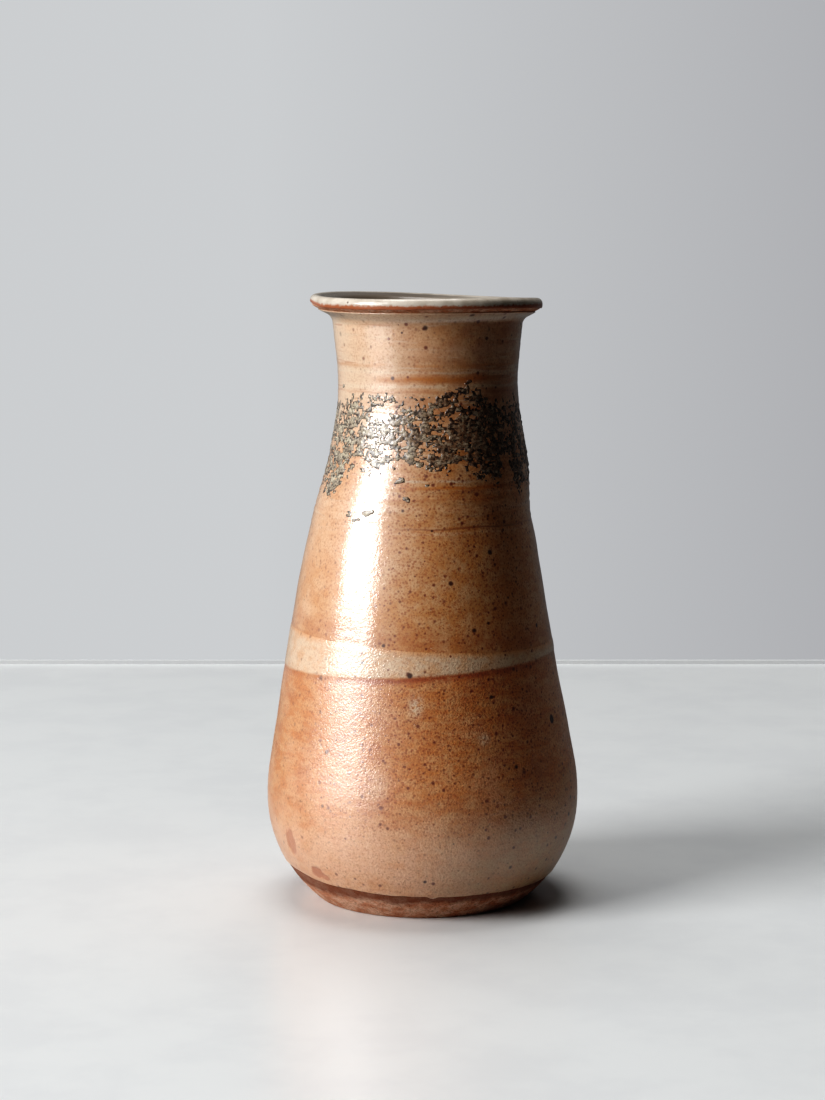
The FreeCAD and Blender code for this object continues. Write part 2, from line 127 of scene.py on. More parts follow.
@dataclass
class Outline:
    """The finished surface, from the middle of the underside, up the wall, over the lip and down to the floor."""

    recess_height: float = 1.0
    floor_height: float = 8.5
    arcs: tuple[Arc, ...] = (
        Arc("recess", 32.84, -1.0, -2.0, -90.0, -135.0),
        Arc("ring", 36.0, 1.5, 2.0, -135.0, -90.0),
        Arc("foot", 43.94, 1.5, 2.0, -90.0, -51.06),
        Arc("low belly", 10.0, 43.5, 56.0, -51.06, 0.0),
        Arc("high belly", -20.4, 43.5, 86.4, 0.0, 10.14),
        Arc("waist", 120.33, 219.0, -83.03, 10.14, 0.0),
        Arc("neck", 117.3, 219.0, -80.0, 0.0, -6.0),
        Arc("root", 43.89, 242.89, -4.5, -6.0, -63.0),
        Arc("lip", 45.8, 251.6, 2.4, -63.0, 100.0),
        Arc("throat", 39.79, 246.88, 6.0, 100.0, 174.0),
        Arc("inner neck", 117.3, 219.0, 86.0, 174.0, 180.0),
        Arc("inner waist", 120.33, 219.0, 89.03, 180.0, 190.14),
        Arc("inner high belly", -20.4, 43.5, -80.4, 190.14, 180.0),
        Arc("inner low belly", 10.0, 43.5, -50.0, 180.0, 142.4),
        Arc("heel", 40.5, 20.0, -11.5, 142.4, 90.0),
    )
    grain: float = 0.1
    rows: np.ndarray = field(init=False)
    run: np.ndarray = field(init=False)
    first: dict[str, int] = field(init=False)

    def __post_init__(self) -> None:
        """Join the arcs into one line and measure along it."""
        rows = [np.array([[0.0, self.recess_height, 0.0, -1.0]])]
        self.first = {}
        for arc in self.arcs:
            self.first[arc.name] = sum(len(r) for r in rows)
            rows.append(arc.points(self.grain))
        rows.append(np.array([[0.0, self.floor_height, 0.0, 1.0]]))
        self.rows = np.vstack(rows)
        steps = np.hypot(*np.diff(self.rows[:, :2], axis=0).T)
        self.run = np.concatenate([[0.0], np.cumsum(steps)])

    def at(self, run: np.ndarray, lift: np.ndarray) -> tuple[np.ndarray, np.ndarray]:
        """Return the radius and height of points, by their run along the outline and their lift off it."""
        radius, height, out, up = (np.interp(run, self.run, column) for column in self.rows.T)
        return radius + lift * out, height + lift * up

    def start_of(self, name: str) -> float:
        """Return how far along the outline an arc starts."""
        return float(self.run[self.first[name]])

    def facing(self, name: str, angle: float) -> float:
        """Return how far along the outline an arc faces a given way, in degrees."""
        arc = next(a for a in self.arcs if a.name == name)
        share = (angle - arc.start) / (arc.end - arc.start)
        return self.start_of(name) + share * abs(math.radians(arc.end - arc.start) * arc.bend)

    def up_to(self, height: np.ndarray) -> np.ndarray:
        """Return how far along the outline the outer wall passes a height, between the foot and the lip."""
        low, high = self.first["foot"], self.first["lip"]
        return np.interp(height, self.rows[low:high, 1], self.run[low:high])

    @property
    def length(self) -> float:
        """The whole length of the outline."""
        return float(self.run[-1])


@dataclass
class Hand:
    """How the thrown wall strays from a true turned one, in millimetres."""

    lean: tuple[tuple[float, float], ...] = (
        (-5.0, 0.0), (52.0, 0.0), (72.0, -0.25), (97.0, -0.9), (132.0, -0.9), (160.0, -0.3), (188.0, 2.4),
        (204.0, 2.5), (222.0, 2.15), (240.0, 2.0), (256.0, 1.3),
    )
    girth: tuple[tuple[float, float], ...] = (
        (-5.0, 0.0), (30.0, -0.1), (44.0, -0.2), (60.0, -0.3), (105.0, -0.3), (132.0, -0.1), (148.0, -0.2),
        (163.0, -0.7), (178.0, -0.55), (202.0, -0.5), (216.0, 0.0), (256.0, 0.0),
    )
    tilt: float = 0.75
    twist: float = 0.65
    far_dip: float = 0.3
    highest: float = 0.99
    lip_droop: float = 0.6  # how far the underside of the lip hangs, its top staying where it is
    ring_pitch: float = 4.4
    ring_depth: float = 0.11
    out_of_round: float = 0.22
    dimple: float = 0.13
    dimple_size: float = 13.0

    def place(self, angle: np.ndarray, radius: np.ndarray, height: np.ndarray) -> np.ndarray:
        """Move true points to where the hand left them.

        Args:
            angle: Round the pot in radians, 0 at the front and rising to the right.
            radius: From the axis.
            height: Above the table.

        Returns:
            Rows of x, y and z in metres.
        """
        calm = smooth(height, 8.0, 30.0) * np.clip(radius / 20.0, 0.0, 1.0)
        upper = smooth(height, 60.0, 120.0)
        swell = eased(self.girth, height) * np.clip(radius / 20.0, 0.0, 1.0)
        turns = 2.0 * math.pi * height / self.ring_pitch + angle
        rings = np.sin(turns + 1.3 * np.sin(height / 23.0)) * (0.5 + 0.5 * np.sin(height / 9.0 + 1.0))
        rings += 0.5 * np.sin(1.7 * (turns - angle) + 2.0 * angle + 0.6)
        oval = np.cos(2.0 * angle + 0.8 + height / 70.0) + 0.4 * np.cos(3.0 * angle + height / 40.0)
        soft = 1.0 - 0.9 * smooth(height, 40.0, 60.0) * (1.0 - smooth(height, 150.0, 164.0))
        soft = soft * (1.0 - 0.6 * smooth(height, 206.0, 222.0))
        swell = swell + calm * soft * self.ring_depth * (0.55 + 0.45 * upper) * rings
        swell = swell + calm * self.out_of_round * (0.25 + 0.75 * upper) * oval
        out, across = np.sin(angle), -np.cos(angle)
        spots = np.column_stack([radius * out, radius * across, height]) / self.dimple_size
        swell = swell + calm * self.dimple * (0.4 + 0.6 * upper) * lumps(spots)
        rim = smooth(height, 175.0, 250.0)
        rise = -self.tilt * out + self.twist * np.sin(2.0 * angle) - self.far_dip * 0.5 * (1.0 + across)
        lifted = height + rim * (rise - self.highest)
        under = smooth(height, 238.0, 247.5) * (1.0 - smooth(height, 249.5, 253.2))
        lifted = lifted - under * self.lip_droop
        x = (radius + swell) * out + eased(self.lean, height)
        return np.column_stack([x, (radius + swell) * across, lifted]) * MM


@dataclass
class Wheel:
    """Rolls a sheet round the axis to a template, and lets the hand finish it."""

    outline: Outline
    hand: Hand

    def throw(self, name: str, template: Sequence[tuple[float, float]], steps: int, closed: bool) -> bpy.types.Object:
        """Roll a sheet round the axis of the pot, its rows on the points of a template.

        Args:
            name: The name of the new piece.
            template: Pairs of run along the outline and lift off it.
            steps: How many steps the full turn takes.
            closed: Whether the template is a ring, or else ends on the axis or open.

        Returns:
            The piece, with its run and lift kept on every vertex.
        """
        if closed:
            template = [*template, template[0]]
        run, lift = np.array(template, float).T
        bpy.ops.object.select_all(action="DESELECT")
        bpy.ops.mesh.primitive_grid_add(x_subdivisions=steps, y_subdivisions=len(run) - 1, size=2.0, calc_uvs=False)
        piece = bpy.context.object
        piece.name = piece.data.name = name
        spots = np.empty(len(piece.data.vertices) * 3, np.float32)
        piece.data.vertices.foreach_get("co", spots)
        across, along, _ = spots.reshape(-1, 3).T
        row = np.rint((along + 1.0) / 2.0 * (len(run) - 1)).astype(int)
        turn = np.rint((across + 1.0) / 2.0 * steps) / steps * 2.0 * math.pi
        radius, height = self.outline.at(run[row], lift[row])
        spots = np.column_stack([radius * np.sin(turn), -radius * np.cos(turn), height]) * MM
        piece.data.vertices.foreach_set("co", spots.astype(np.float32).ravel())
        for label, values in (("run", run), ("lift", lift)):
            layer = piece.data.attributes.new(label, "FLOAT", "POINT")
            layer.data.foreach_set("value", values[row].astype(np.float32))
        bpy.ops.object.mode_set(mode="EDIT")
        bpy.ops.mesh.select_all(action="SELECT")
        bpy.ops.mesh.remove_doubles(threshold=3e-6)
        bpy.ops.mesh.normals_make_consistent(inside=False)
        bpy.ops.object.mode_set(mode="OBJECT")
        bpy.ops.object.shade_smooth()
        return piece

    def read(self, piece: bpy.types.Object) -> tuple[np.ndarray, np.ndarray, np.ndarray]:
        """Read where a spun piece's vertices are.

        Args:
            piece: A piece that the wheel has thrown.

        Returns:
            The angle, the run and the lift of each vertex.
        """
        count = len(piece.data.vertices)
        spots = np.empty(count * 3, np.float32)
        piece.data.vertices.foreach_get("co", spots)
        x, y, _ = spots.reshape(-1, 3).T
        values = []
        for label in ("run", "lift"):
            layer = np.empty(count, np.float32)
            piece.data.attributes[label].data.foreach_get("value", layer)
            values.append(layer.astype(float))
        return np.arctan2(x, -y).astype(float), values[0], values[1]

    def settle(self, piece: bpy.types.Object, angle: np.ndarray, run: np.ndarray, lift: np.ndarray) -> None:
        """Put a piece's vertices where the hand left them.

        Args:
            piece: The piece to move.
            angle: Round the pot, in radians.
            run: Along the outline.
            lift: Off the finished surface.
        """
        spots = self.hand.place(angle, *self.outline.at(run, lift))
        piece.data.vertices.foreach_set("co", spots.astype(np.float32).ravel())
        piece.data.update()


def stations(start: float, end: float, spacing: float) -> np.ndarray:
    """Return evenly spaced runs from start to end, both included."""
    return np.linspace(start, end, max(2, round(abs(end - start) / spacing) + 1))


def keep(piece: bpy.types.Object, node: str, finish: bpy.types.Material) -> None:
    """Dress a finished piece and put it in the frame.

    Args:
        piece: The finished piece.
        node: The CAD node that it stands for.
        finish: Its material.
    """
    piece.data.materials.clear()
    piece.data.materials.append(finish)
    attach(piece, BODY)
    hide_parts(node)


# Shader tools


def fired(red: int, green: int, blue: int) -> Colour:
    """Turn a colour as a chart prints it, 0 to 255, into the light it gives back."""
    linear = [c / 12.92 if c <= 0.04045 else ((c + 0.055) / 1.055) ** 2.4 for c in (red / 255, green / 255, blue / 255)]
    return (linear[0], linear[1], linear[2], 1.0)


class Wire:
    """A shader socket that can stand in a sum."""

    def __init__(self, bench: "Nodes", socket: bpy.types.NodeSocket) -> None:
        """Wrap an output socket of a node tree."""
        self.bench = bench
        self.socket = socket

    def __add__(self, other: Number) -> "Wire":
        """Return the sum."""
        return self.bench.maths("ADD", self, other)

    __radd__ = __add__

    def __mul__(self, other: Number) -> "Wire":
        """Return the product."""
        return self.bench.maths("MULTIPLY", self, other)

    __rmul__ = __mul__

    def __sub__(self, other: Number) -> "Wire":
        """Return the difference."""
        return self.bench.maths("SUBTRACT", self, other)

    def __rsub__(self, other: Number) -> "Wire":
        """Return the difference the other way round."""
        return self.bench.maths("SUBTRACT", other, self)

    def __truediv__(self, other: Number) -> "Wire":
        """Return the quotient."""
        return self.bench.maths("DIVIDE", self, other)

    def __abs__(self) -> "Wire":
        """Return the size without the sign."""
        return self.bench.maths("ABSOLUTE", self)

    def at_least(self, other: Number) -> "Wire":
        """Return the larger of the two."""
        return self.bench.maths("MAXIMUM", self, other)


class Nodes:
    """A node tree being wired up."""

    def __init__(self, tree: bpy.types.NodeTree) -> None:
        """Start on a tree, emptied."""
        self.tree = tree
        tree.nodes.clear()

    def node(self, kind: str, settings: dict, inputs: dict) -> bpy.types.Node:
        """Add a node.

        Args:
            kind: The node's type.
            settings: Its own settings, set first.
            inputs: Values or wires by the name or number of the input.

        Returns:
            The node.
        """
        node = self.tree.nodes.new(kind)
        for key, value in settings.items():
            setattr(node, key, value)
        for key, value in inputs.items():
            if isinstance(value, Wire):
                self.tree.links.new(value.socket, node.inputs[key])
            else:
                node.inputs[key].default_value = value
        return node

    def maths(self, operation: str, *values: Number) -> Wire:
        """Return the result of a Math node."""
        node = self.node("ShaderNodeMath", {"operation": operation}, dict(enumerate(values)))
        return Wire(self, node.outputs[0])

    def vector(
        self, operation: str, first: Wire, second: Optional[tuple] = None, scale: Optional[float] = None
    ) -> Wire:
        """Return the result of a Vector Math node.

        Args:
            operation: Its operation.
            first: The vector to work on.
            second: The other vector, if there is one.
            scale: The factor of a SCALE.

        Returns:
            The resulting vector.
        """
        inputs: dict = {0: first}
        if second is not None:
            inputs[1] = second
        if scale is not None:
            inputs["Scale"] = scale
        node = self.node("ShaderNodeVectorMath", {"operation": operation}, inputs)
        return Wire(self, node.outputs[0])

    def rise(self, value: Number, low: Number, high: Number) -> Wire:
        """Return a soft rise from 0 at low to 1 at high."""
        inputs = {"Value": value, "From Min": low, "From Max": high}
        node = self.node("ShaderNodeMapRange", {"interpolation_type": "SMOOTHSTEP"}, inputs)
        return Wire(self, node.outputs["Result"])

    def spread(self, value: Number, low: float, high: float, first: Number, last: Number) -> Wire:
        """Return a straight run from first at low to last at high."""
        inputs = {"Value": value, "From Min": low, "From Max": high, "To Min": first, "To Max": last}
        return Wire(self, self.node("ShaderNodeMapRange", {}, inputs).outputs["Result"])

    def hump(self, value: Number, middle: Number, half: Number) -> Wire:
        """Return a soft hump, 1 in the middle and 0 from half its width out."""
        return 1.0 - self.rise(abs(value - middle), 0.0, half)

    def mix(self, amount: Number, first: Union[Colour, Wire], second: Union[Colour, Wire]) -> Wire:
        """Return a mix of two colours."""
        settings = {"data_type": "RGBA", "blend_type": "MIX", "clamp_factor": True}
        node = self.node("ShaderNodeMix", settings, {0: amount, 6: first, 7: second})
        return Wire(self, node.outputs[2])


class Bench(Nodes):
    """A material being made, with the bearings of a point on the pot in millimetres and degrees."""

    def __init__(self, name: str) -> None:
        """Start a material and take the bearings that its patterns share.

        Args:
            name: The material's name.
        """
        self.material = bpy.data.materials.new(name)
        self.material.use_nodes = True
        super().__init__(self.material.node_tree)
        place = self.node("ShaderNodeTexCoord", {}, {}).outputs["Object"]
        self.place = self.vector("SCALE", Wire(self, place), scale=1.0 / MM)
        parts = self.node("ShaderNodeSeparateXYZ", {}, {"Vector": self.place}).outputs
        x, y, self.height = (Wire(self, parts[k]) for k in "XYZ")
        self.radius = self.maths("SQRT", x * x + y * y).at_least(0.01)
        self.across = x / self.radius
        self.facing = (0.0 - y) / self.radius
        self.angle = self.maths("ARCTAN2", x, 0.0 - y) * math.degrees(1.0)
        self.colour: Union[Colour, Wire] = (0.0, 0.0, 0.0, 1.0)

    def to_right(self, low: float, high: float, wander: Number = 0.0) -> Wire:
        """Return a soft rise between two angles, which is back at 0 behind the pot, so that it has no seam there.

        Args:
            low: The angle where the rise starts.
            high: The angle where it ends.
            wander: Moves its edge, in degrees.

        Returns:
            The height of the rise.
        """
        return self.rise(self.angle + wander, low, high) * (1.0 - self.rise(self.angle, 105.0, 172.0))

    def lay(self, amount: Number, tint: Union[Colour, Wire]) -> None:
        """Lay a tint over the colour so far, as far as amount says."""
        self.colour = self.mix(amount, self.colour, tint)

    def cloud(
        self, size: float, flat: float = 1.0, detail: float = 2.0, rough: float = 0.5, shift: float = 0.0
    ) -> Wire:
        """Return a cloudy pattern.

        Args:
            size: The size of its lumps in millimetres.
            flat: How many times lower than wide the lumps are.
            detail: How many finer layers it has.
            rough: How strong those are.
            shift: Moves the pattern, so that two of one size differ.

        Returns:
            The pattern, from 0 to 1 about 0.5.
        """
        place = self.vector("MULTIPLY", self.place, (1.0 / size, 1.0 / size, flat / size))
        place = self.vector("ADD", place, (shift, shift * 1.7, shift * 0.6))
        inputs = {"Vector": place, "Scale": 1.0, "Detail": detail, "Roughness": rough}
        return Wire(self, self.node("ShaderNodeTexNoise", {}, inputs).outputs["Fac"])

    def specks(self, cell: float, size: float, share: Number, shift: float = 0.0, edge: float = 0.45) -> Wire:
        """Return specks of iron that came up through the glaze.

        Args:
            cell: How far apart they may be, in millimetres.
            size: The radius of the largest.
            share: The share of the places that have one.
            shift: Moves the pattern.
            edge: How soft a speck's edge is, as a share of its size.

        Returns:
            1 in a speck and 0 outside.
        """
        place = self.vector("SCALE", self.place, scale=1.0 / cell)
        place = self.vector("ADD", place, (shift, shift * 0.7, shift * 1.9))
        cells = self.node("ShaderNodeTexVoronoi", {"feature": "F1"}, {"Vector": place, "Scale": 1.0}).outputs
        draw = self.node("ShaderNodeSeparateColor", {}, {"Color": Wire(self, cells["Color"])}).outputs
        chosen = self.maths("LESS_THAN", Wire(self, draw["Red"]), share)
        radius = (Wire(self, draw["Green"]) * 0.75 + 0.3) * (size / cell)
        return (1.0 - self.rise(Wire(self, cells["Distance"]), radius * (1.0 - edge), radius * (1.0 + edge))) * chosen

    def bump(self, height: Wire, depth: float) -> Wire:
        """Return the normal of a surface whose bumps stand depth millimetres high where height is 1."""
        node = self.node("ShaderNodeBump", {}, {"Strength": 1.0, "Distance": depth * MM, "Height": height})
        return Wire(self, node.outputs["Normal"])

    def finish(self, roughness: Number, normal: Wire, uniform: dict, coat: Number = 0.0) -> bpy.types.Material:
        """Close the material.

        Args:
            roughness: How rough it is.
            normal: Which way its bumps turn it.
            uniform: What is the same all over, by socket name.
            coat: How much soft gloss lies over it.

        Returns:
            The material.
        """
        inputs = {"Base Color": self.colour, "Roughness": roughness, "Normal": normal, "Coat Weight": coat, **uniform}
        shader = self.node("ShaderNodeBsdfPrincipled", {}, inputs)
        self.node("ShaderNodeOutputMaterial", {}, {"Surface": Wire(self, shader.outputs[0])})
        return self.material


# Where the glazes end


@dataclass(frozen=True)
class Lap:
    """The pale band where the lower coat laps over the upper one, in millimetres."""

    low: float = 102.6
    low_tilt: float = 3.0
    high: float = 113.6
    high_tilt: float = -3.1
    high_near: float = -1.0

    def low_edge(self, across: Union[np.ndarray, Wire]) -> Union[np.ndarray, Wire]:
        """Return the height of its lower edge at a sine of the angle."""
        return across * self.low_tilt + self.low

    def high_edge(self, across: Union[np.ndarray, Wire], facing: Union[np.ndarray, Wire]) -> Union[np.ndarray, Wire]:
        """Return the height of its upper edge at a sine and a cosine of the angle."""
        return across * self.high_tilt + facing * self.high_near + self.high


@dataclass(frozen=True)
class GlazeLine:
    """Where the lower coat stops above the foot, by the angle round the pot in degrees."""

    heights: tuple[tuple[float, float], ...] = (
        (-181.0, 14.0), (-140.0, 12.6), (-100.0, 15.0), (-70.0, 16.0), (-40.0, 13.4), (-10.0, 12.0), (5.0, 11.6),
        (30.0, 11.4), (60.0, 11.0), (100.0, 12.4), (140.0, 13.2), (181.0, 14.0),
    )
    drip_at: float = 4.0
    drip_half: float = 3.0
    drip_length: float = 0.9
    wander: float = 0.28

    def height(self, angle: np.ndarray) -> np.ndarray:
        """Return the height of the line at each angle in radians."""
        degrees = np.degrees(angle)
        drip = ridge(degrees, self.drip_at, 0.0, self.drip_half)
        return eased(self.heights, degrees) + self.wander * ragged(angle, 7.0, 0.3) - self.drip_length * drip


# Finishes


@dataclass(frozen=True)
class ClayFinish:
    """Bare fired stoneware: reddish brown, grainy, darker just under the glaze."""

    clay: Colour = fired(198, 138, 108)
    pale: Colour = fired(224, 182, 156)
    scorch: Colour = fired(108, 60, 42)
    grog: Colour = fired(64, 36, 26)
    glaze_edge: float = 12.4

    def make(self) -> bpy.types.Material:
        """Return the material."""
        b = Bench("fired_clay")
        b.colour = b.mix(b.rise(b.cloud(5.0, 1.6), 0.35, 0.65), self.clay, self.pale)
        b.lay(b.rise(b.cloud(0.9, 1.0, 3.0, 0.7), 0.42, 0.7) * 0.55, self.scorch)
        line = b.rise(b.height + (b.cloud(6.0, 1.0) - 0.5) * 4.0, self.glaze_edge - 5.5, self.glaze_edge - 2.5)
        line = line * (1.0 - b.rise(b.height, 20.0, 24.0))
        b.lay(line * 0.75, self.scorch)
        b.lay(b.specks(1.5, 0.28, 0.35) * 0.7, self.grog)
        grain = b.cloud(0.45, 1.0, 3.0, 0.65) * 0.7 + b.cloud(1.6, 2.0, 2.0) * 0.5
        return b.finish(0.78, b.bump(grain, 0.16), {"Specular IOR Level": 0.35})


@dataclass(frozen=True)
class LinerFinish:
    """The pale, speckled glaze inside and over the lip, with painted shade inside the throat."""

    cream: Colour = fired(214, 204, 190)
    grey: Colour = fired(188, 176, 160)
    # painted shade for the inside of the throat
    shade: Colour = fired(104, 90, 76)
    rust: Colour = fired(172, 92, 48)
    iron: Colour = fired(92, 62, 42)
    edge_height: float = 249.9

    def make(self) -> bpy.types.Material:
        """Return the material."""
        b = Bench("liner_glaze")
        b.colour = b.mix(b.rise(b.cloud(7.0), 0.35, 0.7), self.cream, self.grey)
        b.lay(b.rise(b.cloud(1.1, 1.0, 3.0, 0.6), 0.5, 0.75) * 0.5, self.grey)
        # Painted shade: the inside of the throat is darkened, most towards the left, where the rim keeps the window's
        # light off it.
        painted_throat_shade = (1.0 - b.rise(b.radius, 42.0, 44.6)) * (1.0 - b.rise(b.across, -0.1, 0.75) * 0.6)
        b.lay(painted_throat_shade * 0.9, self.shade)
        tip = b.hump(b.angle, -84.0, 26.0) * 1.6
        ragged_edge = b.height + (b.cloud(1.8, 1.0, 3.0, 0.6) - 0.5) * 2.2 - tip
        edge = 1.0 - b.rise(ragged_edge, self.edge_height - 0.3, self.edge_height + 0.8)
        b.lay(edge * b.rise(b.radius, 44.0, 46.5) * 0.9, self.rust)
        b.lay(b.specks(1.4, 0.24, 0.4, 3.0) * 0.55, self.iron)
        b.lay(b.specks(4.5, 0.42, 0.4, 7.0) * 0.85, self.iron)
        peel = b.cloud(1.5, 1.0, 2.0)
        uniform = {"Coat Roughness": 0.45, "IOR": 1.5}
        return b.finish(0.2, b.bump(peel, 0.09), uniform, 0.35)


@dataclass(frozen=True)
class Streak:
    """A coloured line that a finger or a rib left round the pot."""

    height: float
    half: float
    colour: Colour
    strength: float
    first: float = -400.0
    last: float = 400.0


@dataclass(frozen=True)
class UpperFinish:
    """Orange-tan glaze with cream and rust lines left by throwing, and iron specks; its neck and shoulder carry painted
    light on the left and painted shade on the right.
    """

    orange: Colour = fired(208, 147, 90)
    tan: Colour = fired(218, 171, 125)
    peach: Colour = fired(232, 196, 162)
    cream: Colour = fired(228, 206, 178)
    rust: Colour = fired(176, 96, 42)
    ochre: Colour = fired(196, 122, 52)
    freckle: Colour = fired(160, 84, 38)
    iron: Colour = fired(118, 46, 14)
    black: Colour = fired(72, 30, 10)
    lap: Lap = Lap()

    def streaks(self) -> tuple[Streak, ...]:
        """Return the lines from the lip down."""
        return (
            Streak(245.4, 2.6, self.cream, 0.9),
            Streak(232.0, 5.0, self.peach, 0.35),
            Streak(225.6, 1.3, self.ochre, 0.45),
            Streak(223.0, 1.0, self.cream, 0.5),
            Streak(220.2, 2.2, self.ochre, 0.95, -30.0, 50.0),
            Streak(217.2, 1.2, self.cream, 0.55),
            Streak(215.0, 0.9, self.rust, 0.35),
            Streak(179.8, 1.1, self.cream, 0.9, -14.0, 26.0),
            Streak(177.0, 1.3, self.ochre, 0.85, -12.0, 60.0),
            Streak(172.2, 0.8, self.rust, 0.4, -20.0, 60.0),
            Streak(168.0, 2.2, self.peach, 0.35),
            Streak(160.6, 0.7, self.iron, 0.6, -8.0, 80.0),
            Streak(158.6, 0.8, self.peach, 0.3),
        )

    def make(self) -> bpy.types.Material:
        """Return the material."""
        b = Bench("upper_glaze")
        wander = (b.cloud(16.0, 1.0) - 0.5) * 2.4
        level = b.height + wander
        b.colour = b.mix(b.rise(b.cloud(7.0, 1.25, 4.0, 0.6), 0.36, 0.68), self.orange, self.tan)
        b.lay(b.rise(b.cloud(30.0, 1.4, 2.0, 0.5, 5.0), 0.5, 0.75) * 0.45, self.peach)
        neck = b.rise(level, 176.0, 216.0)
        # The neck is a little paler all round as its own colour. On top of that comes painted light: the window side on
        # the left is painted paler with peach and cream, on the neck and in a band round height 158. The shaded right
        # of the neck gets painted shade in rust.
        painted_lit_side = 1.0 - b.to_right(-50.0, 20.0)
        b.lay(neck * (painted_lit_side * 0.65 + 0.2), self.peach)
        b.lay(neck * painted_lit_side * b.rise(b.cloud(18.0, 1.5, 3.0, 0.6, 23.0), 0.3, 0.6) * 0.55, self.cream)
        b.lay(b.hump(level, 158.0, 34.0) * painted_lit_side * 0.4, self.peach)
        b.lay(neck * (1.0 - painted_lit_side) * b.rise(b.cloud(9.0, 1.6, 3.0, 0.6, 14.0), 0.4, 0.6) * 0.4, self.rust)
        ribs = b.rise(b.cloud(26.0, 11.0, 3.0, 0.65, 2.0), 0.54, 0.7)
        b.lay(ribs * b.rise(level, 150.0, 172.0) * 0.5, self.cream)
        b.lay(b.rise(b.cloud(22.0, 16.0, 2.0, 0.6, 9.0), 0.6, 0.72) * b.rise(level, 150.0, 172.0) * 0.4, self.rust)
        for streak in self.streaks():
            line = b.hump(level, streak.height, streak.half) * streak.strength
            if streak.first > -360.0:
                line = line * b.rise(b.angle, streak.first - 12.0, streak.first + 12.0)
                line = line * (1.0 - b.rise(b.angle, streak.last - 14.0, streak.last + 14.0))
            line = line * b.rise(b.cloud(14.0, 1.0, 2.0, 0.5, streak.height), 0.22, 0.5)
            b.lay(line, streak.colour)
        above = b.height - self.lap.high_edge(b.across, b.facing)
        shoulder = b.hump(above, 3.0, 9.0) * b.rise(b.cloud(7.0, 2.5, 2.0, 0.5, 11.0), 0.25, 0.6)
        b.lay(shoulder * 0.4, self.rust)
        speckled(b, self.rust, self.freckle, self.iron, self.black, 1.0 - neck * 0.5)
        peel = b.cloud(1.7, 1.0, 2.0) * 0.9 + b.cloud(0.7, 1.0, 1.0) * 0.45 - b.specks(2.4, 0.22, 0.35, 6.0) * 0.7
        roughness = b.rise(b.cloud(3.0), 0.3, 0.7) * 0.06 + 0.12
        uniform = {"Coat Roughness": 0.52, "Coat IOR": 2.1, "IOR": 1.8}
        return b.finish(roughness, b.bump(peel, 0.13), uniform, 0.9)


def speckled(b: Bench, rust: Colour, freckle: Colour, iron: Colour, black: Colour, much: Wire) -> None:
    """Sprinkle iron over a glaze, thickest to the right of the front.

    Args:
        b: The material being made.
        rust: The tint of its fine grain.
        freckle: The colour of the smallest specks.
        iron: The colour of the middling specks.
        black: The colour of the few large ones.
        much: How thick the fine ones lie, from 0 to 1.
    """
    side = b.rise(b.facing + b.across * 0.5, -0.2, 0.9) * 0.6 + 0.4
    grain = b.rise(b.cloud(0.9, 1.0, 3.0, 0.75, 4.0), 0.44, 0.66)
    b.lay(grain * 0.6 * much * side, rust)
    b.lay(b.specks(1.1, 0.45, 0.95, 1.0, 0.7) * 0.75 * much * side, freckle)
    b.lay(b.specks(2.0, 0.58, 0.42, 3.0, 0.6) * 0.8 * side * much, iron)
    b.lay(b.specks(3.6, 0.8, 0.42, 5.0, 0.5) * 0.9 * side, iron)
    b.lay(b.specks(8.5, 1.1, 0.55, 8.0, 0.4) * 0.95 * side, black)


